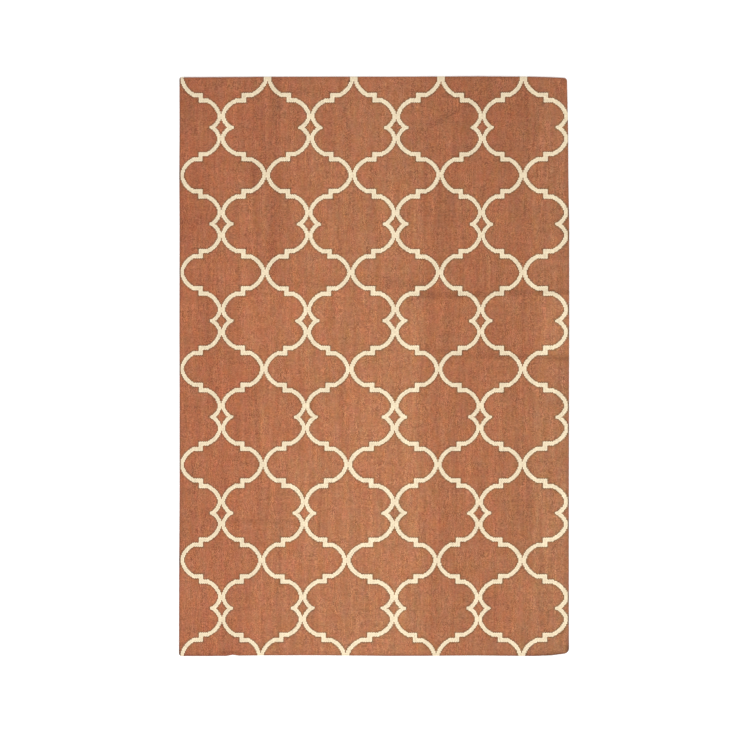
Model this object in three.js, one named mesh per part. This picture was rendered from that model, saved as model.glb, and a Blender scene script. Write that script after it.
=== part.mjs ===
// A hand-woven flat-weave rug for a patio, the same on both faces, lying flat on the ground.
//
// Millimetres, +Z up. The origin is on the ground under the middle of the rug: +X runs across
// its width and +Y along its length. The rug is one woven sheet of even thickness, hems and
// selvedges included. Its edges are as uneven as hand weaving leaves them, its four corners
// are rounded unalike, and low ridges cross it where it was folded and rolled.

import * as THREE from 'three';

const WIDTH = 1220;
const LENGTH = 1814;
const THICKNESS = 5;

// Levels of the rug's rim, from the ground up: height as a share of the thickness, and how far
// that level lies inside the widest one, which makes the edge of the cloth round.
const RIM_LEVELS = [
  { height: 0, inset: 1.6 },
  { height: 0.5, inset: 0 },
  { height: 1, inset: 1.6 },
];

// Corners by the side and the end that meet there: side -1 is left, end -1 is the near end.
const CORNERS = [
  { side: -1, end: -1, radius: 6 },
  { side: 1, end: -1, radius: 13 },
  { side: -1, end: 1, radius: 4 },
  { side: 1, end: 1, radius: 7 },
];

// How far each selvedge stands out of its straight line, at places along the rug.
const SELVEDGES = [
  { y: -907, left: 1.5, right: 0 },
  { y: -600, left: 1, right: 0 },
  { y: -400, left: -0.5, right: 0 },
  { y: -75, left: -0.5, right: 0.5 },
  { y: 150, left: 0, right: 1 },
  { y: 450, left: -0.5, right: 1 },
  { y: 600, left: 0.5, right: -1.5 },
  { y: 750, left: -0.5, right: -2.5 },
  { y: 907, left: 0, right: -6 },
];

// How far each hemmed end stands out of its straight line, at places across the rug.
const HEMMED_ENDS = [
  { x: -610, near: 1, far: -2 },
  { x: -500, near: 1, far: -1.5 },
  { x: -350, near: -1, far: -0.5 },
  { x: -175, near: -1.3, far: 0 },
  { x: 50, near: 0.8, far: 0 },
  { x: 325, near: -0.4, far: 1.2 },
  { x: 500, near: 1, far: 0 },
  { x: 555, near: -1, far: -1.5 },
  { x: 610, near: -8, far: -4 },
];

// Low ridges that old folds left, each from one point of the rug to another, with its height
// at both ends.
const FOLD_RIDGES = [
  { name: 'long fold', from: [148, 233], to: [148, -920], heights: [2.2, 1.6], halfWidth: 22 },
  { name: 'side fold', from: [495, 233], to: [495, -920], heights: [2, 1.2], halfWidth: 20 },
  { name: 'upper cross fold', from: [148, 233], to: [620, 233], heights: [1.8, 2.4], halfWidth: 20 },
  { name: 'lower cross fold', from: [148, 31], to: [620, 31], heights: [1.2, 2], halfWidth: 18 },
  { name: 'roll wave', from: [-355, 700], to: [-355, 90], heights: [1.2, 1.8], halfWidth: 34 },
];

// Lines of the sheet's grid: distances from an edge, shares of a ridge's half width, and the
// widest step that is left between two lines on flat cloth.
const LINES_AT_EDGE = [0, 4, 9, 16];
const LINES_ON_RIDGE = [-1, -0.5, 0, 0.5, 1];
const WIDEST_STEP = 64;

const WARM_TERRACOTTA = 0xb17352;

const rug = new THREE.Group();
rug.add(wovenSheet());

function wovenSheet() {
  const acrossLines = gridLines(0, WIDTH);
  const alongLines = gridLines(1, LENGTH);
  const geometry = new THREE.BoxGeometry(
    1, 1, 1,
    acrossLines.length - 1, alongLines.length - 1, RIM_LEVELS.length - 1,
  );
  const corners = geometry.attributes.position;
  for (let index = 0; index < corners.count; index += 1) {
    const x = lineOf(acrossLines, corners.getX(index));
    const y = lineOf(alongLines, corners.getY(index));
    const level = lineOf(RIM_LEVELS, corners.getZ(index));
    corners.setXYZ(index, ...placeOnRug(x, y, level));
  }
  centreOverOrigin(geometry);
  geometry.computeVertexNormals();

  const cloth = new THREE.MeshStandardMaterial({
    color: WARM_TERRACOTTA,
    roughness: 0.95,
    metalness: 0,
  });
  const sheet = new THREE.Mesh(geometry, cloth);
  sheet.name = 'rug';
  return sheet;
}

// The entry of a list that a unit box's coordinate, from -0.5 to 0.5, stands for.
function lineOf(list, boxCoordinate) {
  return list[Math.round((boxCoordinate + 0.5) * (list.length - 1))];
}

// A point of the true rug, from its place on the plain rectangle and its level at the rim.
function placeOnRug(plainX, plainY, level) {
  const isRim = Math.abs(plainX) === WIDTH / 2 || Math.abs(plainY) === LENGTH / 2;
  const [roundedX, roundedY] = roundedAtCorner(plainX, plainY);
  const inset = isRim ? level.inset : 0;
  const x = stretched(roundedX, WIDTH / 2, selvedgeOffset(roundedX, roundedY) - inset);
  const y = stretched(roundedY, LENGTH / 2, endOffset(roundedX, roundedY) - inset);
  return [x, y, level.height * THICKNESS + ridgeHeight(x, y)];
}

// Moves a coordinate outwards in proportion to its distance from the middle.
function stretched(coordinate, half, offset) {
  return coordinate * (half + offset) / half;
}

// Bends the square at a corner of the plain rectangle into a quarter of a disc.
function roundedAtCorner(x, y) {
  const { radius } = CORNERS.find(({ side, end }) => x * side >= 0 && y * end >= 0);
  const squareX = (Math.abs(x) - (WIDTH / 2 - radius)) / radius;
  const squareY = (Math.abs(y) - (LENGTH / 2 - radius)) / radius;
  if (squareX <= 0 || squareY <= 0) return [x, y];
  const pull = Math.max(squareX, squareY) / Math.hypot(squareX, squareY);
  return [
    Math.sign(x) * (WIDTH / 2 - radius + squareX * pull * radius),
    Math.sign(y) * (LENGTH / 2 - radius + squareY * pull * radius),
  ];
}

function selvedgeOffset(x, y) {
  return readTable(SELVEDGES, 'y', y, x < 0 ? 'left' : 'right');
}

function endOffset(x, y) {
  return readTable(HEMMED_ENDS, 'x', x, y < 0 ? 'near' : 'far');
}

// A column of a table, read between its rows in a straight line.
function readTable(table, placeColumn, place, column) {
  const nextRow = table.findIndex((row) => row[placeColumn] >= place);
  if (nextRow === 0) return table[0][column];
  if (nextRow < 0) return table[table.length - 1][column];
  const below = table[nextRow - 1];
  const above = table[nextRow];
  const share = (place - below[placeColumn]) / (above[placeColumn] - below[placeColumn]);
  return THREE.MathUtils.lerp(below[column], above[column], share);
}

// How far the ridges lift the sheet at a point. Where two ridges cross, the higher one counts.
function ridgeHeight(x, y) {
  return Math.max(...FOLD_RIDGES.map((ridge) => liftOf(ridge, new THREE.Vector2(x, y))));
}

function liftOf(ridge, point) {
  const start = new THREE.Vector2(...ridge.from);
  const run = new THREE.Vector2(...ridge.to).sub(start);
  const along = THREE.MathUtils.clamp(point.clone().sub(start).dot(run) / run.lengthSq(), 0, 1);
  const distance = start.addScaledVector(run, along).distanceTo(point);
  if (distance >= ridge.halfWidth) return 0;
  const crest = THREE.MathUtils.lerp(...ridge.heights, along);
  return crest * Math.cos(distance / ridge.halfWidth * Math.PI / 2) ** 2;
}

// The grid lines across one axis of the sheet, 0 for X and 1 for Y: close together at the edges
// and on the ridges that run the other way, and evenly spaced in the gaps that are left.
function gridLines(axis, size) {
  const lines = LINES_AT_EDGE.flatMap((inset) => [inset - size / 2, size / 2 - inset]);
  for (const { from, to, halfWidth } of FOLD_RIDGES) {
    if (from[axis] !== to[axis]) continue;
    lines.push(...LINES_ON_RIDGE.map((share) => from[axis] + share * halfWidth));
  }
  lines.sort((a, b) => a - b);
  return lines.flatMap((line, index) => {
    const gap = (lines[index + 1] ?? line) - line;
    const steps = Math.max(1, Math.ceil(gap / WIDEST_STEP));
    return Array.from({ length: steps }, (_, step) => line + gap * step / steps);
  });
}

function centreOverOrigin(geometry) {
  geometry.computeBoundingBox();
  const middle = geometry.boundingBox.getCenter(new THREE.Vector3());
  geometry.translate(-middle.x, -middle.y, 0);
}

export default rug;
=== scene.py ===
import math
from collections import namedtuple

import bmesh
import bpy
import numpy as np
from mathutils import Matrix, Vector, noise


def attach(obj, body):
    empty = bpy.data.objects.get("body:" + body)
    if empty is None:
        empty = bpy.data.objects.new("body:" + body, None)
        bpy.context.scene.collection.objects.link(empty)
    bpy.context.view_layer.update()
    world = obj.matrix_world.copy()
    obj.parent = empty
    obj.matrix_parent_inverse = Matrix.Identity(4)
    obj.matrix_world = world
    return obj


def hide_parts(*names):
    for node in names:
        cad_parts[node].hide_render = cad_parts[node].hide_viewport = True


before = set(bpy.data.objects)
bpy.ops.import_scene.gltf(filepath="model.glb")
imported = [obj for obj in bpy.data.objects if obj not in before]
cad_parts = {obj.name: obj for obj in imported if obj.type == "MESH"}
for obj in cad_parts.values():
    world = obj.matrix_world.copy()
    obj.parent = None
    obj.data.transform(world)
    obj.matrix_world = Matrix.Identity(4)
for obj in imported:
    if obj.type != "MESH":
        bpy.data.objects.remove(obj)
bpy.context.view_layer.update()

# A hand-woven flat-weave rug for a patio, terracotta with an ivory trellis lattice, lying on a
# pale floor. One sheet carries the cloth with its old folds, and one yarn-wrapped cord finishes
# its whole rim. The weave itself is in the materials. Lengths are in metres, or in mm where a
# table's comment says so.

MM = 0.001
TINY = 1e-9

# The rug before its edges wander
WIDTH = 1220 * MM
LENGTH = 1814 * MM
THICKNESS = 5 * MM

# Corners by the side and the end that meet there: side -1 is left, end -1 is the near end
CORNER_RADII = {
    (-1, -1): 6 * MM,
    (1, -1): 13 * MM,
    (-1, 1): 4 * MM,
    (1, 1): 7 * MM,
}

# How far each selvedge stands out of its straight line, in mm, at places along the rug
SELVEDGES = {
    "y": (-907, -600, -400, -75, 150, 450, 600, 750, 907),
    "left": (1.5, 1, -0.5, -0.5, 0, -0.5, 0.5, -0.5, 0),
    "right": (0, 0, 0, 0.5, 1, 1, -1.5, -2.5, -6),
}

# How far each hemmed end stands out of its straight line, in mm, at places across the rug.
# The near hem is puckered at one place
HEMMED_ENDS = {
    "near": {
        "x": (-610, -500, -464, -444, -424, -350, -175, 50, 325, 500, 555, 610),
        "out": (1, 1, 0.6, -3, -0.2, -1, -1.3, 0.8, -0.4, 1, -1, -8),
    },
    "far": {
        "x": (-610, -500, -350, -175, 50, 325, 500, 555, 610),
        "out": (-2, -1.5, -0.5, 0, 0, 1.2, 0, -1.5, -4),
    },
}

# Old folds as soft ridges: from one point to another, in mm, the crest's height at the start
# and at the end, how far the far (or left) and the near (or right) slopes reach, and how much
# darker painted shade makes the far slope, turned from the light, at the start and at the end
Fold = namedtuple("Fold", "start end heights far_reach near_reach wear")
FOLDS = {
    "upper cross fold": Fold((148, 208), (615, 221), (1.8, 1.6), 28, 18, (0.18, 0.17)),
    "upper cross fold, left part": Fold((148, 246), (-330, 246), (1.4, 0.6), 28, 12, (0.08, 0.07)),
    "lower cross fold": Fold((290, 21), (615, 15), (1.2, 1.8), 27, 18, (0.06, 0.2)),
    "lower cross fold, left part": Fold((148, 40), (290, 27), (1.2, 1.2), 27, 18, (0.11, 0.08)),
    "long fold": Fold((148, 233), (148, -900), (1.6, 1.2), 12, 30, (0, 0)),
    "side fold": Fold((499, 215), (499, -900), (1.4, 0.9), 22, 16, (0.04, 0.01)),
    "roll wave": Fold((-355, 700), (-355, 90), (1.2, 1.8), 34, 34, (0, 0)),
    "left middle crease": Fold((-448, -80), (-88, -82), (0.7, 0.6), 18, 8, (0.04, 0.04)),
    "left lower crease": Fold((-432, -497), (-198, -494), (0.9, 1.1), 20, 9, (0.06, 0.09)),
    "left upper crease": Fold((-606, 441), (-450, 441), (1.2, 0.8), 26, 10, (0.11, 0.08)),
    "right upper crease": Fold((165, 466), (400, 463), (0.6, 0.6), 12, 10, (0.06, 0.06)),
    "slanting wrinkle": Fold((187, 748), (305, 813), (1.4, 1.2), 24, 14, (0.14, 0.12)),
    "slanting wrinkle, far part": Fold((305, 813), (414, 851), (1.0, 0.6), 18, 12, (0.1, 0.05)),
    "lower slanting wrinkle": Fold((256, 650), (397, 688), (0.8, 0.6), 18, 10, (0.08, 0.08)),
    "short wrinkle": Fold((-262, 854), (-215, 851), (0.8, 0.8), 14, 9, (0.08, 0.08)),
    "pinch": Fold((262, -72), (292, -76), (0.8, 0.6), 14, 9, (0.08, 0.08)),
    "hem pucker": Fold((-478, -901), (-424, -901), (1.2, 1.0), 12, 8, (0.3, 0.3)),
}

# The painted shade on a far slope lies towards its crest
SKEW_OF_PAINTED_DARKENING = 0.75

# The near right corner curls up a little at its rim, and painted shade darkens it there too
CURL = {"across": 160 * MM, "along": 80 * MM, "rim": 17 * MM, "height": 3.5 * MM, "wear": 0.68}

# The cloth never lies quite flat: long low waves that run with the warp, broader swells and a
# fine cockle. Each is noise that is cut off below the lowest trough
WAVES = {
    "warp waves": {"across": 48 * MM, "along": 420 * MM, "height": 0.9 * MM, "seed": 3.7},
    "swells": {"across": 210 * MM, "along": 260 * MM, "height": 1.1 * MM, "seed": 11.2},
    "cockle": {"across": 24 * MM, "along": 34 * MM, "height": 0.22 * MM, "seed": 27.5},
}
LOWEST_TROUGH = -0.2

# The sheet's grid, whose lines crowd together within reach of a fold, and the rounding of its
# edges, which are those that turn by more than an angle in radians
STEPS_ACROSS = 158
STEPS_ALONG = 236
CROWDING_SAMPLES = 4000
CLOSER_AT_FOLD = 1.8
FOLD_REACH = 22 * MM
SHARP_ANGLE = 1.0
RIM_ROUNDING = 1.5 * MM

# The cord that finishes the rim: one yarn turn for each bump. Its direction at a ring is taken
# from the rings a few steps before and after
CORD_RADIUS = 2.5 * MM
TURN_PITCH = 3.9 * MM
TURN_RELIEF = 0.7 * MM
RINGS_IN_A_TURN = 4
CORD_SIDES = 8
SAMPLES_ON_A_SIDE = 6000
RINGS_AHEAD = 3
SAME_POINT = 0.001 * MM

# The lattice, whose column lines drift as the weaver's count did. Lines where lobes touch once
# and lines with a small diamond take turns. Where each crosses the far and the near end, in mm
LATTICE_COLUMNS = {
    "far": (-607, -480, -334.5, -197.5, -64.5, 69, 210, 340, 467, 607),
    "near": (-607, -477, -355.5, -226.5, -90.5, 62, 194, 325, 462, 607),
}
# Where its row lines lie along the rug, from the far end, in mm
LATTICE_ROWS = (900, 747, 599, 445, 294, 142, -8.5, -159.5, -307.5, -460, -608, -758, -906)
QUARTER_WIDTH = 134.5 * MM
QUARTER_LENGTH = 150.5 * MM

# One quarter of the lattice's repeat, from a joint where lobes touch at its corner: u runs
# across and v along the rug to the middle of the diamond at the other corner. The line is a few
# arcs, each cut off where the next part takes over, and straight runs
STROKE_OF_ARCS = 11.75 * MM
LINE_ARCS = {
    "out of the joint": {"centre": (72.6 * MM, -14.7 * MM), "radius": 70 * MM, "u_to": 43 * MM},
    "round the lobe": {
        "centre": (63 * MM, 131 * MM), "radius": 69.2 * MM, "u_from": 91 * MM, "v_to": 116 * MM,
    },
    "beside the diamond": {
        "centre": (77.9 * MM, 104.4 * MM), "radius": 53.4 * MM,
        "u_from": 96.6 * MM, "v_from": 116 * MM,
    },
}
LINE_RUNS = {
    "joint": {"u": (-6 * MM, 6 * MM), "v": (-8.5 * MM, 8.5 * MM)},
    "upper run": {"u": (42 * MM, 74 * MM), "v": (43 * MM, 56 * MM)},
    "step": {"u": (60.2 * MM, 74 * MM), "v": (43 * MM, 72.3 * MM)},
    "lower run": {"u": (60.2 * MM, 93 * MM), "v": (60 * MM, 72.3 * MM)},
    "where lobes touch": {"u": (127.5 * MM, 140 * MM), "v": (107 * MM, 124 * MM)},
}

# The weaver's hand lets the lattice stray a little from its lines
STRAYING = 1.6 * MM
STRAY_FEATURE = 75 * MM
STRAY_SEED = 5

# The weave, counted out on the lattice: ribs over the warps, with one in the middle of each
# joint and diamond, and the picks of weft that cover them
RIB = QUARTER_WIDTH / 41
PICK = QUARTER_LENGTH / 72

# Each stitch shows as a bead that leans one way or the other. Its colour is painted fully lit
# from a share of its height upwards, with painted shade in the crevices round it
BEAD_SLANT = 0.28
BEAD_PROFILE = {"over_rib": 0.9, "over_pick": 0.6}
BEAD_LIT_FROM = 0.75
CREVICE_SHADE = 0.38
STITCH_RELIEF = 0.6 * MM

# Fine fibres that lean along the weft yarn: the part of their noise that counts, how dark and how
# light they make the yarn, and how far they stand out
FIBRES = {"across": 1.8 * MM, "lean": 0.9 * MM, "thickness": 0.32 * MM, "layer": 9.0}
FIBRE_SPREAD = (0.2, 0.8)
FIBRE_LIGHT = (0.82, 1.18)
FIBRE_RELIEF = 0.06 * MM

# The rim's yarn has coarser fibres, and painted shade darkens it between its turns
RIM_FIBRE = 0.5 * MM
RIM_FIBRE_LIGHT = (0.86, 1.1)
RIM_FIBRE_RELIEF = 0.12 * MM
BETWEEN_TURNS_SHADE = 0.4
TURN_LIT_FROM = 0.9

# All the yarn is matt, with a faint sheen
YARN_ROUGHNESS = (0.78, 0.94)
YARN_GLOSS = {"Specular IOR Level": 0.25, "Sheen Weight": 0.06, "Sheen Roughness": 0.5}

# The line's edge wanders by stitches, more slowly from pick to pick than from rib to rib, and the
# line stops short of the selvedges
EDGE_WANDER = 3.2 * MM
EDGE_WANDER_ALONG = 0.6
EDGE_WANDER_LAYER = 0.5
SELVEDGE_GROUND = 4 * MM

# Beside the line the ground is packed tighter and looks darker, and the line is lightest at its
# own edges
SEAM_SHADE_WIDTH = 6 * MM
SEAM_SHADE = 0.55
LINE_EDGE_WIDTH = 5.5 * MM
LINE_EDGE_LIGHT = 1.065
LINE_MIDDLE_LIGHT = 0.975

# Uneven dye and spinning as clouds of noise: how far one reaches across and along the rug, in mm,
# the layer of noise that keeps it unlike the others, how fine and how rough it is, how far from
# its mean the noise counts, and what it gives at its least and at its most
Cloud = namedtuple("Cloud", "across along layer detail roughness spread least most")
CLOUDS = {
    "redder patches": Cloud(55, 140, 4, 2, 0.5, 0.2, -0.06, 0.06),
    "redder streaks": Cloud(11, 32, 24, 3, 0.5, 0.2, -0.09, 0.09),
    "bluer patches": Cloud(26, 60, 44, 4, 0.6, 0.2, 0.86, 1.14),
    "uneven spinning": Cloud(34, 48, 31, 2, 0.5, 0.2, 0.5, 1.5),
    "slubs": Cloud(3.2, 3.6, 21, 1, 0.5, 0.25, 0.96, 1.04),
    "warp bands": Cloud(22, 300, 6, 1, 0.5, 0.25, 0.9, 1.1),
    "weft bands": Cloud(160, 12, 13, 2, 0.5, 0.25, 0.93, 1.07),
    # The rim mottle lies below 1: painted shade that darkens the whole rim cord
    "rim mottle and painted shade": Cloud(9, 9, 6, 3, 0.5, 0.25, 0.66, 0.9),
    "short streaks": Cloud(1, 20, 2, 2, 0.5, 0.25, -0.12, 0.12),
    "long streaks": Cloud(1, 110, 5, 2, 0.5, 0.25, 0.89, 1.11),
}
# Streaks keep to one rib each: for them the ribs are spread until no cloud spans two
RIBS_SPREAD = 7.3 * MM

# What differs at random from stitch to stitch: the layer of chance that keeps it unlike the
# others, and what it gives at its least and at its most
Chance = namedtuple("Chance", "layer least most")
CHANCES = {
    "plumpness": Chance(3.5, 0.8, 1.0),
    "lightness": Chance(7.5, -0.25, 0.25),
    "redness": Chance(11.5, -0.06, 0.06),
    "blueness": Chance(15.5, -0.08, 0.08),
}

# The yarns' colours. The undyed ivory shows little of the unevenness, only this power of it
TERRACOTTA = (0.461, 0.174, 0.0785, 1)
IVORY = (0.799, 0.68, 0.475, 1)
IVORY_UNEVENNESS = 0.35

# The powers of a lightness that red, green and blue take: yarn is more saturated where it is
# darker, and browner beside the line
DEEPER_WHEN_DARK = (1.0, 1.16, 1.22)
BROWNER_AT_SEAM = (1.0, 0.55, 0.55)

# The dye took unevenly, in broad stripes along the warp and a little in hue from end to end, and
# painted shade darkens the cloth towards the far end: how light and how much redder and bluer the
# cloth is at places across and along it, in mm
DYE_ACROSS = {
    "place": (-610, -500, -400, -350, -250, -180, 60, 138, 162, 200, 330, 450, 496, 502, 610),
    "shade": (.95, .93, .97, 1, 1.05, 1.08, 1.09, 1.08, .98, .96, .95, .94, .95, 1.01, 1),
    "red": (.08, .075, .045, .03, 0, -.015, -.045, -.03, 0, .005, .02, 0, -.01, -.04, -.06),
    "blue": (.005, 0, 0, 0, 0, 0, .005, 0, -.005, -.01, -.01, -.012, -.005, .005, .03),
}
DYE_AND_PAINTED_SHADE_ALONG = {
    "place": (-907, -650, -250, 100, 520, 680, 907),
    # Painted shade: darker towards the far end, where less light falls
    "shade": (.99, 1.02, 1.03, 1.01, .975, .945, .90),
    "red": (-.03, -.025, -.01, 0, 0, .01, .02),
    "blue": (.015, .002, -.004, -.01, -.004, .005, .025),
}
# Patches that are lighter, darker, redder or browner still, with painted light on the long
# fold and painted shade on the rim
Patch = namedtuple("Patch", "left right near far soft_edge shade red")
DYE_AND_PAINTED_LIGHT_PATCHES = {
    "upper left glow": Patch(-520, -385, 235, 900, 30, 1.07, -.01),
    "dark warp stripe": Patch(-329, -297, 280, 900, 14, .89, .02),
    "second warp stripe": Patch(-378, -360, 230, 800, 12, .93, .01),
    "light warp stripe": Patch(-350, -333, -900, 560, 14, 1.04, -.01),
    "light left block": Patch(-415, -350, 40, 225, 24, 1.08, -.02),
    # Painted light: the left flank of the long fold is lighter, as where light falls on it
    "light edge of the fold": Patch(100, 157, 44, 219, 6, 1.07, -.02),
    "light edge, near part": Patch(92, 146, -560, 44, 20, 1.03, -.02),
    "light side block": Patch(500, 612, 28, 218, 6, 1.1, -.01),
    "even far middle": Patch(40, 154, 240, 900, 20, .965, 0),
    "left dark blob": Patch(-400, -360, 545, 650, 40, .88, .01),
    "brown near corner": Patch(430, 640, -940, -60, 90, 1, -.035),
    "red near left": Patch(-500, -380, -940, 10, 60, 1, .03),
    # Lighter over the middle of the upper cross fold, easing its painted shade
    "lighter middle of the fold": Patch(300, 488, 205, 236, 20, 1.05, 0),
    # Painted shade: a dark line along the rim, darkest at the near end
    "near rim": Patch(-640, 640, -940, -902, 5, .76, 0),
    "left rim": Patch(-640, -606, -940, 940, 4, .86, 0),
    "right rim": Patch(604, 640, -940, 940, 5, .91, 0),
    "far rim": Patch(-640, 640, 901, 940, 6, .95, 0),
}

# The view from straight above, in the frame of the photograph
PICTURE_SIDE_PX = 750
PX = 3.133 * MM
RUG_MIDDLE_PX = (374.2, 366.2)
CAMERA_HEIGHT = 9.0
CAMERA_REACH = 100
SENSOR_WIDTH_MM = 36.0

# The studio: one soft light from the near side, even light all round, and the floor, which
# reaches far past the rug and lies a hair under it
KEY_LIGHT = {"place": (0.4, -3.6, 4.8), "size": 3.2, "power": 153}
AIR_STRENGTH = 1.075
FLOOR_REACH = 14.0
FLOOR_DROP = 0.3 * MM
FLOOR_WHITE = (0.96, 0.96, 0.96, 1)
FLOOR_ROUGHNESS = 0.9

# Sockets of Blender's Mix node for colours, which have no names of their own
MIX_SHARE, MIX_FIRST, MIX_SECOND, MIX_RESULT = 0, 6, 7, 2


def placed(x, y, inset):
    """True places of points of the plain rectangle, as arrays, moved in from the rim by inset."""
    x, y = rounded_at_corners(x, y)
    left = np.interp(y / MM, SELVEDGES["y"], SELVEDGES["left"]) * MM
    right = np.interp(y / MM, SELVEDGES["y"], SELVEDGES["right"]) * MM
    near, far = [
        np.interp(x / MM, HEMMED_ENDS[end]["x"], HEMMED_ENDS[end]["out"]) * MM
        for end in ("near", "far")
    ]
    across = 1 + (np.where(x < 0, left, right) - inset) / (WIDTH / 2)
    along = 1 + (np.where(y < 0, near, far) - inset) / (LENGTH / 2)
    return x * across, y * along


def rounded_at_corners(x, y):
    """Bends the square at each corner of the plain rectangle into a quarter of a disc."""
    side, end = np.sign(x), np.sign(y)
    radius = np.zeros_like(x)
    for (corner_side, corner_end), corner_radius in CORNER_RADII.items():
        radius[(x * corner_side >= 0) & (y * corner_end >= 0)] = corner_radius
    u = np.maximum((np.abs(x) - (WIDTH / 2 - radius)) / radius, 0)
    v = np.maximum((np.abs(y) - (LENGTH / 2 - radius)) / radius, 0)
    in_square = (u > 0) & (v > 0)
    pull = np.where(in_square, np.maximum(u, v) / np.maximum(np.hypot(u, v), TINY), 1)
    rounded_x = side * (WIDTH / 2 - radius + u * pull * radius)
    rounded_y = end * (LENGTH / 2 - radius + v * pull * radius)
    return np.where(in_square, rounded_x, x), np.where(in_square, rounded_y, y)


def lift(x, y):
    """How far the folds and waves lift the cloth off the floor at points given as arrays."""
    ridges = CURL["height"] * curl(x, y)
    for fold in FOLDS.values():
        along, slope_share = across_fold(fold, x, y)
        height = fold.heights[0] + (fold.heights[1] - fold.heights[0]) * along
        ridges = np.maximum(ridges, height * MM * bell(slope_share))
    return ridges + waves(x, y)


def curl(x, y):
    """How much points belong to the curled rim of the near right corner, from 0 to 1."""
    from_side, from_end = WIDTH / 2 - x, LENGTH / 2 + y
    near_corner = bell(np.hypot(from_side / CURL["across"], from_end / CURL["along"]))
    return near_corner * bell(np.minimum(from_side, from_end) / CURL["rim"])


def across_fold(fold, x, y):
    """How far along a fold points lie, from 0 to 1, and how far down its slopes, -1 to 1."""
    start, end = np.array(fold.start) * MM, np.array(fold.end) * MM
    run = end - start
    from_start = np.stack((x, y), axis=-1) - start
    along = np.clip(from_start @ run / (run @ run), 0, 1)
    off = from_start - along[..., None] * run
    distance = np.linalg.norm(off, axis=-1)
    is_upright = abs(run[1]) > abs(run[0])
    on_far_side = off[..., 0] < 0 if is_upright else off[..., 1] > 0
    reach = np.where(on_far_side, fold.far_reach, fold.near_reach) * MM
    return along, np.where(on_far_side, -1, 1) * distance / reach


def bell(share):
    """A soft bump, 1 where share is 0 and 0 from 1 outwards."""
    return np.cos(np.clip(share, -1, 1) * math.pi / 2) ** 2


def waves(x, y):
    """The low waves of cloth that isn't quite flat, never under the floor."""
    total = np.zeros_like(x)
    for wave in WAVES.values():
        heights = [
            noise.noise(Vector((px / wave["across"], py / wave["along"], wave["seed"])))
            for px, py in zip(x, y)
        ]
        total += wave["height"] * np.maximum(np.array(heights), LOWEST_TROUGH)
    return total - total.min()


def crowded_lines(size, count, fold_places):
    """Grid lines across one direction of the sheet, closer together on the folds."""
    fine = np.linspace(-size / 2, size / 2, CROWDING_SAMPLES)
    crowding = np.ones_like(fine)
    for place in fold_places:
        crowding += CLOSER_AT_FOLD * np.exp(-(((fine - place * MM) / FOLD_REACH) ** 2))
    share = np.concatenate(([0], np.cumsum((crowding[1:] + crowding[:-1]) / 2)))
    lines = np.interp(np.linspace(0, share[-1], count + 1), share, fine)
    lines[0], lines[-1] = -size / 2, size / 2
    return lines


def woven_sheet():
    """The cloth: a fine grid in the rug's outline, lifted by the folds and given its thickness."""
    sheet = bmesh.new()
    bmesh.ops.create_grid(sheet, x_segments=STEPS_ACROSS, y_segments=STEPS_ALONG, size=0.5)
    across_folds = [fold.start[0] for fold in FOLDS.values() if fold.start[0] == fold.end[0]]
    along_folds = [fold.start[1] for fold in FOLDS.values() if fold.start[0] != fold.end[0]]
    across = crowded_lines(WIDTH, STEPS_ACROSS, across_folds)
    along = crowded_lines(LENGTH, STEPS_ALONG, along_folds)
    column = np.array([round((v.co.x + 0.5) * STEPS_ACROSS) for v in sheet.verts])
    row = np.array([round((v.co.y + 0.5) * STEPS_ALONG) for v in sheet.verts])
    x, y = placed(across[column], along[row], inset=CORD_RADIUS)
    z = lift(x, y)
    for vertex, place in zip(sheet.verts, zip(x, y, z)):
        vertex.co = place
    raised = bmesh.ops.extrude_face_region(sheet, geom=sheet.faces[:])
    top = [part for part in raised["geom"] if isinstance(part, bmesh.types.BMVert)]
    bmesh.ops.translate(sheet, verts=top, vec=(0, 0, THICKNESS))
    bmesh.ops.recalc_face_normals(sheet, faces=sheet.faces[:])
    rim = [edge for edge in sheet.edges if edge.calc_face_angle(0) > SHARP_ANGLE]
    bmesh.ops.bevel(
        sheet,
        geom=rim,
        offset=RIM_ROUNDING,
        segments=2,
        profile=0.5,
        affect="EDGES",
        material=-1,
    )
    return finished(sheet, "woven_cloth_sheet")


def rim_path():
    """The cord's rings along the rug's rim, as arrays of places and of outward directions."""
    half_w, half_l = WIDTH / 2, LENGTH / 2
    ends = np.array(((-1, -1), (1, -1), (1, 1), (-1, 1), (-1, -1))) * (half_w, half_l)
    plain = np.concatenate([
        np.linspace(start, stop, SAMPLES_ON_A_SIDE, endpoint=False)
        for start, stop in zip(ends[:-1], ends[1:])
    ])
    x, y = placed(plain[:, 0], plain[:, 1], inset=CORD_RADIUS)
    route = np.stack((x, y), axis=1)
    route = np.concatenate((route, route[:1]))
    travelled = np.concatenate(([0], np.cumsum(np.linalg.norm(np.diff(route, axis=0), axis=1))))
    rings = RINGS_IN_A_TURN * round(travelled[-1] / TURN_PITCH)
    at = np.linspace(0, travelled[-1], rings, endpoint=False)
    places = np.stack([np.interp(at, travelled, route[:, axis]) for axis in (0, 1)], axis=1)
    ahead = np.roll(places, -RINGS_AHEAD, axis=0) - np.roll(places, RINGS_AHEAD, axis=0)
    ahead /= np.linalg.norm(ahead, axis=1)[:, None]
    outward = np.stack((ahead[:, 1], -ahead[:, 0]), axis=1)
    return places, outward


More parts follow.
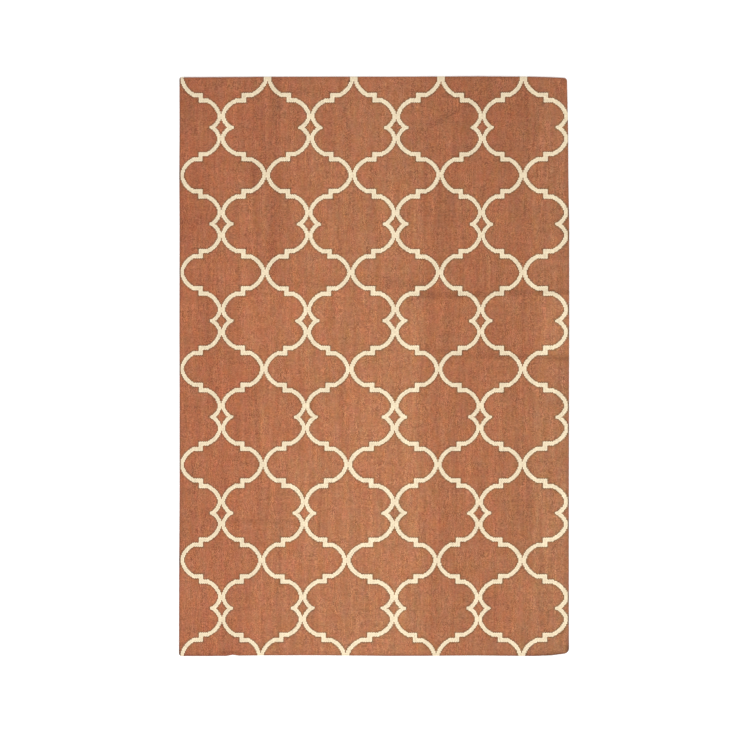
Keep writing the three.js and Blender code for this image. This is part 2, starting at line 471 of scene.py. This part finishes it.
def rim_cord():
    """The cord of edge warps and its yarn turns: a grid rolled into a tube round the whole rim."""
    places, outward = rim_path()
    rings = len(places)
    floor_gap = lift(places[:, 0], places[:, 1])
    cord = bmesh.new()
    bmesh.ops.create_grid(cord, x_segments=rings, y_segments=CORD_SIDES, size=0.5)
    turn_height = cord.verts.layers.float.new("turn_height")
    for vertex in cord.verts:
        ring = round((vertex.co.x + 0.5) * rings) % rings
        side = round((vertex.co.y + 0.5) * CORD_SIDES) % CORD_SIDES
        turn = 2 * math.pi * side / CORD_SIDES
        slant = side / CORD_SIDES
        bump = abs(math.sin(math.pi * (ring / RINGS_IN_A_TURN + slant)))
        vertex[turn_height] = bump
        radius = CORD_RADIUS - TURN_RELIEF * (1 - bump)
        reach = radius * math.cos(turn)
        vertex.co = (
            places[ring, 0] + reach * outward[ring, 0],
            places[ring, 1] + reach * outward[ring, 1],
            floor_gap[ring] + CORD_RADIUS + radius * math.sin(turn),
        )
    bmesh.ops.remove_doubles(cord, verts=cord.verts[:], dist=SAME_POINT)
    bmesh.ops.recalc_face_normals(cord, faces=cord.faces[:])
    return finished(cord, "rim_cord")


def finished(shape, name):
    """A smooth-shaded piece from a bmesh, with the place on the lattice of each of its points."""
    mesh = bpy.data.meshes.new(name)
    shape.to_mesh(mesh)
    shape.free()
    mesh.polygons.foreach_set("use_smooth", np.ones(len(mesh.polygons), dtype=bool))
    points = np.zeros(len(mesh.vertices) * 3, dtype=np.float32)
    mesh.vertices.foreach_get("co", points)
    points = points.reshape(-1, 3)
    on_lattice = mesh.attributes.new("lattice_place", "FLOAT_VECTOR", "POINT")
    on_lattice.data.foreach_set("vector", lattice_place(points).astype(np.float32).ravel())
    for part, values in zip(("dye_and_painted_shade", "dye_red", "dye_blue"), dye(points)):
        made = mesh.attributes.new(part, "FLOAT", "POINT")
        made.data.foreach_set("value", values.astype(np.float32))
    piece = bpy.data.objects.new(name, mesh)
    bpy.context.scene.collection.objects.link(piece)
    return piece


def lattice_place(points):
    """Where points of the rug would lie if every repeat of the lattice were the same size."""
    x, y = points[:, 0] / MM, points[:, 1] / MM
    towards_far = np.clip(y / (LENGTH / MM) + 0.5, 0, 1)
    far, near = np.array(LATTICE_COLUMNS["far"]), np.array(LATTICE_COLUMNS["near"])
    lines = near + (far - near) * towards_far[:, None]
    column = (x[:, None] >= lines[:, 1:-1]).sum(axis=1)
    picked = np.arange(len(x))
    left, right = lines[picked, column], lines[picked, column + 1]
    u = column + (x - left) / (right - left)
    rows = np.array(LATTICE_ROWS[::-1], dtype=float)
    row = np.clip(np.searchsorted(rows, y) - 1, 0, len(rows) - 2)
    v = len(rows) - 1 - (row + (y - rows[row]) / (rows[row + 1] - rows[row]))
    noise.seed_set(STRAY_SEED)
    stray = np.array([
        noise.noise_vector(Vector((px, py, 0)) / STRAY_FEATURE * MM) for px, py in zip(x, y)
    ])
    place = np.stack((u * QUARTER_WIDTH, v * QUARTER_LENGTH, np.zeros_like(u)), axis=1)
    return place + stray * (STRAYING, STRAYING, 0)


def dye(points):
    """How light the dye and painted light and shade leave the cloth at points of the rug, about 1,
    and how red and blue, about 0.
    """
    x, y = points[:, 0], points[:, 1]
    across, along = [
        {kind: np.interp(place / MM, table["place"], table[kind]) for kind in table}
        for place, table in ((x, DYE_ACROSS), (y, DYE_AND_PAINTED_SHADE_ALONG))
    ]
    shade = across["shade"] * along["shade"]
    red = across["red"] + along["red"]
    for patch in DYE_AND_PAINTED_LIGHT_PATCHES.values():
        from_sides = np.minimum(x - patch.left * MM, patch.right * MM - x)
        from_ends = np.minimum(y - patch.near * MM, patch.far * MM - y)
        inside = np.minimum(from_sides, from_ends) / (patch.soft_edge * MM) + 0.5
        inside = np.clip(inside, 0, 1)
        shade *= 1 + (patch.shade - 1) * inside
        red += patch.red * inside
    return shade * painted_fold_shade(x, y), red, across["blue"] + along["blue"]


def painted_fold_shade(x, y):
    """How light painted shade leaves the folds' far slopes and the curled corner, 1 where there is
    none.
    """
    most_darkened = CURL["wear"] * curl(x, y)
    for fold in FOLDS.values():
        along, slope_share = across_fold(fold, x, y)
        wear = fold.wear[0] + (fold.wear[1] - fold.wear[0]) * along
        on_far_slope = np.sin(np.clip(-slope_share, 0, 1) ** SKEW_OF_PAINTED_DARKENING * math.pi)
        most_darkened = np.maximum(most_darkened, wear * on_far_slope)
    return 1 - most_darkened


class Recipe:
    """A material's nodes, laid down by short calls that take sockets or numbers."""

    def __init__(self, name):
        self.material = bpy.data.materials.new(name)
        self.material.use_nodes = True
        self.tree = self.material.node_tree
        self.shader = self.tree.nodes["Principled BSDF"]

    def node(self, kind, **settings):
        made = self.tree.nodes.new(kind)
        for name, value in settings.items():
            setattr(made, name, value)
        return made

    def feed(self, socket, value):
        if isinstance(value, bpy.types.NodeSocket):
            self.tree.links.new(value, socket)
        else:
            socket.default_value = value

    def calc(self, operation, *values):
        made = self.node("ShaderNodeMath", operation=operation)
        for socket, value in zip(made.inputs, values):
            self.feed(socket, value)
        return made.outputs[0]

    def chained(self, operation, values):
        result = values[0]
        for value in values[1:]:
            result = self.calc(operation, result, value)
        return result

    def total(self, *values):
        return self.chained("ADD", values)

    def product(self, *values):
        return self.chained("MULTIPLY", values)

    def least(self, *values):
        return self.chained("MINIMUM", values)

    def most(self, *values):
        return self.chained("MAXIMUM", values)

    def vector(self, x, y, z):
        made = self.node("ShaderNodeCombineXYZ")
        for socket, value in zip(made.inputs, (x, y, z)):
            self.feed(socket, value)
        return made.outputs[0]

    def parts_of(self, vector):
        made = self.node("ShaderNodeSeparateXYZ")
        self.feed(made.inputs[0], vector)
        return made.outputs[0], made.outputs[1], made.outputs[2]

    def object_place(self):
        return self.parts_of(self.node("ShaderNodeTexCoord").outputs["Object"])

    def attribute(self, name, output="Vector"):
        return self.node("ShaderNodeAttribute", attribute_name=name).outputs[output]

    def cloud(self, place, detail=2.0, roughness=0.5):
        """Smooth noise from 0 to 1 with features about one unit of place across."""
        made = self.node("ShaderNodeTexNoise", noise_dimensions="3D")
        self.feed(made.inputs["Vector"], place)
        self.feed(made.inputs["Scale"], 1.0)
        self.feed(made.inputs["Detail"], detail)
        self.feed(made.inputs["Roughness"], roughness)
        return made.outputs["Fac"]

    def random(self, place):
        """A random number from 0 to 1, alike wherever place is alike."""
        made = self.node("ShaderNodeTexWhiteNoise", noise_dimensions="3D")
        self.feed(made.inputs["Vector"], place)
        return made.outputs["Value"]

    def uneven(self, x, y, cloud):
        """What a cloud gives at a place on the rug, from its least to its most."""
        across = self.product(x, 1 / (cloud.across * MM))
        along = self.product(y, 1 / (cloud.along * MM))
        found = self.cloud(self.vector(across, along, cloud.layer), cloud.detail, cloud.roughness)
        return self.remap(found, 0.5 - cloud.spread, 0.5 + cloud.spread, cloud.least, cloud.most)

    def by_stitch(self, weave, chance):
        """What chance gives a stitch, from its least to its most."""
        drawn = self.random(self.vector(weave["rib"], weave["pick"], chance.layer))
        return self.remap(drawn, 0.0, 1.0, chance.least, chance.most)

    def remap(self, value, start, stop, low, high):
        made = self.node("ShaderNodeMapRange", clamp=True)
        for socket, given in zip(made.inputs, (value, start, stop, low, high)):
            self.feed(socket, given)
        return made.outputs[0]

    def blend(self, share, first, second, mode="MIX"):
        made = self.node("ShaderNodeMix", data_type="RGBA", blend_type=mode)
        self.feed(made.inputs[MIX_SHARE], share)
        self.feed(made.inputs[MIX_FIRST], first)
        self.feed(made.inputs[MIX_SECOND], second)
        return made.outputs[MIX_RESULT]

    def colour(self, *parts):
        made = self.node("ShaderNodeCombineColor")
        for socket, part in zip(made.inputs, parts):
            self.feed(socket, part)
        return made.outputs[0]

    def relief(self, height):
        """A normal from a height in metres."""
        made = self.node("ShaderNodeBump")
        made.inputs["Strength"].default_value = 1.0
        made.inputs["Distance"].default_value = 1.0
        self.feed(made.inputs["Height"], height)
        return made.outputs[0]


def run_depth(recipe, u, v, box):
    """How deep a place lies inside a straight stroke, negative outside."""
    depths = []
    for place, (low, high) in ((u, box["u"]), (v, box["v"])):
        from_middle = recipe.calc("ABSOLUTE", recipe.calc("SUBTRACT", place, (low + high) / 2))
        depths.append(recipe.calc("SUBTRACT", (high - low) / 2, from_middle))
    return recipe.least(*depths)


def arc_depth(recipe, u, v, arc):
    """How deep a place lies inside a stroke along a stretch of a circle, negative outside."""
    across = recipe.calc("SUBTRACT", u, arc["centre"][0])
    along = recipe.calc("SUBTRACT", v, arc["centre"][1])
    squares = recipe.total(recipe.product(across, across), recipe.product(along, along))
    off_circle = recipe.calc("SUBTRACT", recipe.calc("SQRT", squares), arc["radius"])
    depths = [recipe.calc("SUBTRACT", STROKE_OF_ARCS / 2, recipe.calc("ABSOLUTE", off_circle))]
    for place, start, stop in ((u, "u_from", "u_to"), (v, "v_from", "v_to")):
        if start in arc:
            depths.append(recipe.calc("SUBTRACT", place, arc[start]))
        if stop in arc:
            depths.append(recipe.calc("SUBTRACT", arc[stop], place))
    return recipe.least(*depths)


def lattice_depth(recipe, place_u, place_v):
    """How deep a place on the lattice lies inside its ivory line, negative on the ground."""
    u = recipe.calc("PINGPONG", place_u, QUARTER_WIDTH)
    v = recipe.calc("PINGPONG", place_v, QUARTER_LENGTH)
    arcs = [arc_depth(recipe, u, v, arc) for arc in LINE_ARCS.values()]
    runs = [run_depth(recipe, u, v, box) for box in LINE_RUNS.values()]
    return recipe.most(*arcs, *runs)


def yarn_colour(recipe, x, y, weave, lightness, depth):
    """Dyed yarn with uneven uptake and painted shade: terracotta ground, ivory line, a shade where
    they meet.
    """
    ground = TERRACOTTA
    from_seam = recipe.remap(depth, -SEAM_SHADE_WIDTH, 0.0, 1.0, SEAM_SHADE)
    for tint in (
        dye_hue(recipe, x, y, weave),
        tinted(recipe, lightness, DEEPER_WHEN_DARK),
        tinted(recipe, from_seam, BROWNER_AT_SEAM),
    ):
        ground = recipe.blend(1.0, ground, tint, mode="MULTIPLY")

    undyed = recipe.product(
        recipe.calc("POWER", lightness, IVORY_UNEVENNESS),
        recipe.remap(depth, 0.0, LINE_EDGE_WIDTH, LINE_EDGE_LIGHT, LINE_MIDDLE_LIGHT),
    )
    line = recipe.blend(1.0, IVORY, tinted(recipe, undyed, DEEPER_WHEN_DARK), mode="MULTIPLY")

    in_from_selvedge = recipe.calc("ABSOLUTE", x)
    in_from_selvedge = recipe.calc("SUBTRACT", WIDTH / 2 - SELVEDGE_GROUND, in_from_selvedge)
    is_line = recipe.calc("GREATER_THAN", recipe.least(depth, in_from_selvedge), 0.0)
    return recipe.blend(is_line, ground, line)


def dye_hue(recipe, x, y, weave):
    """A tint near white: redder or bluer in patches, in streaks and from stitch to stitch."""
    red = recipe.total(
        recipe.attribute("dye_red", output="Fac"),
        recipe.uneven(x, y, CLOUDS["redder patches"]),
        recipe.uneven(x, y, CLOUDS["redder streaks"]),
        recipe.by_stitch(weave, CHANCES["redness"]),
    )
    blue = recipe.total(
        recipe.attribute("dye_blue", output="Fac"),
        recipe.uneven(x, y, CLOUDS["bluer patches"]),
        recipe.by_stitch(weave, CHANCES["blueness"]),
    )
    more_red = recipe.calc("MULTIPLY_ADD", red, 0.5, 1.0)
    less_green = recipe.calc("MULTIPLY_ADD", red, -0.5, 1.0)
    return recipe.colour(more_red, less_green, recipe.product(less_green, blue))


def tinted(recipe, lightness, powers):
    """A tint near white, whose red, green and blue are powers of a lightness near 1."""
    return recipe.colour(*[recipe.calc("POWER", lightness, power) for power in powers])


def weave_material():
    """Weft-faced flat weave: each pick of weft shows as a small slanted bead over each warp."""
    recipe = Recipe("flat_weave")
    x, y, _ = recipe.object_place()
    on_lattice = recipe.parts_of(recipe.attribute("lattice_place"))
    weave = woven_count(recipe, on_lattice[0], on_lattice[1])
    lightness = yarn_lightness(recipe, x, y, weave)

    wander = recipe.cloud(recipe.vector(
        weave["rib"], recipe.product(weave["pick"], EDGE_WANDER_ALONG), EDGE_WANDER_LAYER
    ))
    wander = recipe.product(recipe.calc("SUBTRACT", wander, 0.5), EDGE_WANDER)
    stitch_u, stitch_v = weave["middle"]
    depth = lattice_depth(recipe, recipe.total(stitch_u, wander), stitch_v)

    bead = bead_height(recipe, weave)
    fibres = twisted_fibres(recipe, x, y)
    # Painted shade in the crevices round each bead, and the fibres' own light and dark
    lightness = recipe.product(
        lightness,
        recipe.remap(bead, 0.0, BEAD_LIT_FROM, CREVICE_SHADE, 1.0),
        recipe.remap(fibres, *FIBRE_SPREAD, *FIBRE_LIGHT),
    )
    colour = yarn_colour(recipe, x, y, weave, lightness, depth)
    recipe.feed(recipe.shader.inputs["Base Color"], colour)

    height = recipe.total(
        recipe.product(bead, STITCH_RELIEF),
        recipe.product(fibres, FIBRE_RELIEF),
    )
    give_yarn_surface(recipe, height, fibres)
    return recipe.material


def woven_count(recipe, across, along):
    """Which stitch a place on the lattice is in, by rib and pick, and how far off its middle."""
    ribs = recipe.calc("MULTIPLY_ADD", across, 1 / RIB, 0.5)
    rib = recipe.calc("FLOOR", ribs)
    off_rib = recipe.calc("SUBTRACT", recipe.calc("FRACT", ribs), 0.5)
    is_odd = recipe.calc("PINGPONG", rib, 1.0)
    half_pick = recipe.product(is_odd, 0.5)
    slant = recipe.product(off_rib, recipe.remap(is_odd, 0.0, 1.0, BEAD_SLANT, -BEAD_SLANT))
    picks = recipe.total(recipe.product(along, 1 / PICK), half_pick, slant)
    pick = recipe.calc("FLOOR", picks)
    return {
        "rib": rib,
        "off_rib": off_rib,
        "pick": pick,
        "off_pick": recipe.calc("SUBTRACT", recipe.calc("FRACT", picks), 0.5),
        "middle": (
            recipe.product(rib, RIB),
            recipe.product(recipe.calc("SUBTRACT", recipe.total(pick, 0.5), half_pick), PICK),
        ),
    }


def bead_height(recipe, weave):
    """The height of the yarn over a warp, 1 at the middle of a stitch and 0 between stitches."""
    over_rib = recipe.calc("COSINE", recipe.product(weave["off_rib"], math.pi))
    over_pick = recipe.calc("COSINE", recipe.product(weave["off_pick"], math.pi))
    rounded = recipe.product(
        recipe.calc("POWER", recipe.most(over_rib, 0.0), BEAD_PROFILE["over_rib"]),
        recipe.calc("POWER", recipe.most(over_pick, 0.0), BEAD_PROFILE["over_pick"]),
    )
    return recipe.product(rounded, recipe.by_stitch(weave, CHANCES["plumpness"]))


def twisted_fibres(recipe, x, y):
    """Fine fibres that run slantwise along the weft yarn, from 0 to 1."""
    along_yarn = recipe.total(
        recipe.product(x, 1 / FIBRES["across"]), recipe.product(y, 1 / FIBRES["lean"])
    )
    over_yarn = recipe.product(y, 1 / FIBRES["thickness"])
    return recipe.cloud(recipe.vector(along_yarn, over_yarn, FIBRES["layer"]))


def yarn_lightness(recipe, x, y, weave):
    """Uneven yarn: stitch by stitch, in slubs, in streaks along each rib and in broad patches."""
    own_rib = recipe.product(weave["rib"], RIBS_SPREAD)
    grain = recipe.total(
        recipe.by_stitch(weave, CHANCES["lightness"]),
        recipe.uneven(own_rib, y, CLOUDS["short streaks"]),
    )
    grain = recipe.product(grain, recipe.uneven(x, y, CLOUDS["uneven spinning"]))
    return recipe.product(
        # The dye's lightness, with painted light and shade on the folds, the corner, the rim and
        # the far end
        recipe.attribute("dye_and_painted_shade", output="Fac"),
        recipe.total(grain, 1.0),
        recipe.uneven(x, y, CLOUDS["slubs"]),
        recipe.uneven(own_rib, y, CLOUDS["long streaks"]),
        recipe.uneven(x, y, CLOUDS["warp bands"]),
        recipe.uneven(x, y, CLOUDS["weft bands"]),
    )


def rim_material():
    """The rim's yarn, whose turns are in the mesh: fibres, dye and painted shade between turns."""
    recipe = Recipe("rim_yarn")
    places = recipe.object_place()
    x, y, _ = places
    on_lattice = recipe.parts_of(recipe.attribute("lattice_place"))
    weave = woven_count(recipe, on_lattice[0], on_lattice[1])
    depth = lattice_depth(recipe, on_lattice[0], on_lattice[1])
    fibres = recipe.cloud(recipe.vector(*[recipe.product(at, 1 / RIM_FIBRE) for at in places]))
    turn_height = recipe.attribute("turn_height", output="Fac")
    # Dye with painted shade from the attribute, painted shade between the turns, and the mottle
    lightness = recipe.product(
        recipe.attribute("dye_and_painted_shade", output="Fac"),
        recipe.remap(turn_height, 0.0, TURN_LIT_FROM, BETWEEN_TURNS_SHADE, 1.0),
        recipe.remap(fibres, *FIBRE_SPREAD, *RIM_FIBRE_LIGHT),
        recipe.uneven(x, y, CLOUDS["rim mottle and painted shade"]),
    )
    colour = yarn_colour(recipe, x, y, weave, lightness, depth)
    recipe.feed(recipe.shader.inputs["Base Color"], colour)
    give_yarn_surface(recipe, recipe.product(fibres, RIM_FIBRE_RELIEF), fibres)
    return recipe.material


def give_yarn_surface(recipe, height, fibres):
    """The relief, roughness and faint sheen of matt yarn."""
    recipe.feed(recipe.shader.inputs["Normal"], recipe.relief(height))
    roughness = recipe.remap(fibres, *FIBRE_SPREAD, *YARN_ROUGHNESS)
    recipe.feed(recipe.shader.inputs["Roughness"], roughness)
    for socket, value in YARN_GLOSS.items():
        recipe.shader.inputs[socket].default_value = value


def floor():
    """A plain pale floor."""
    plane = bmesh.new()
    bmesh.ops.create_grid(plane, x_segments=1, y_segments=1, size=FLOOR_REACH)
    bmesh.ops.translate(plane, verts=plane.verts[:], vec=(0, 0, -FLOOR_DROP))
    mesh = bpy.data.meshes.new("floor")
    plane.to_mesh(mesh)
    plane.free()
    ground = bpy.data.objects.new("floor", mesh)
    bpy.context.scene.collection.objects.link(ground)
    paint = Recipe("pale_floor")
    paint.shader.inputs["Base Color"].default_value = FLOOR_WHITE
    paint.shader.inputs["Roughness"].default_value = FLOOR_ROUGHNESS
    mesh.materials.append(paint.material)


def soft_box(name, place, size, power):
    """A square studio light that faces the middle of the rug."""
    light = bpy.data.lights.new(name, "AREA")
    light.shape = "SQUARE"
    light.size = size
    light.energy = power
    lamp = bpy.data.objects.new(name, light)
    lamp.location = place
    lamp.rotation_euler = (-Vector(place)).to_track_quat("-Z", "Y").to_euler()
    bpy.context.scene.collection.objects.link(lamp)


def studio():
    """Plain soft light, shown without any tone curve, so that the pale floor stays white."""
    soft_box("key_softbox", **KEY_LIGHT)
    world = bpy.data.worlds.new("studio_air")
    world.use_nodes = True
    background = world.node_tree.nodes["Background"]
    background.inputs["Color"].default_value = (1, 1, 1, 1)
    background.inputs["Strength"].default_value = AIR_STRENGTH
    bpy.context.scene.world = world
    bpy.context.scene.view_settings.view_transform = "Standard"


def camera_above():
    """Looks straight down from high up, so that the rug lies where the photograph has it."""
    picture_middle = PICTURE_SIDE_PX / 2
    lens = bpy.data.cameras.new("camera")
    lens.sensor_width = SENSOR_WIDTH_MM
    lens.lens = SENSOR_WIDTH_MM * CAMERA_HEIGHT / (PICTURE_SIDE_PX * PX)
    lens.clip_end = CAMERA_REACH
    camera = bpy.data.objects.new("camera", lens)
    camera.location = (
        (picture_middle - RUG_MIDDLE_PX[0]) * PX,
        -(picture_middle - RUG_MIDDLE_PX[1]) * PX,
        CAMERA_HEIGHT,
    )
    bpy.context.scene.collection.objects.link(camera)
    bpy.context.scene.camera = camera


camera_above()
studio()
floor()

sheet = woven_sheet()
sheet.data.materials.append(weave_material())
cord = rim_cord()
cord.data.materials.append(rim_material())

for piece in (sheet, cord):
    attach(piece, "root")
    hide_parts("rug")
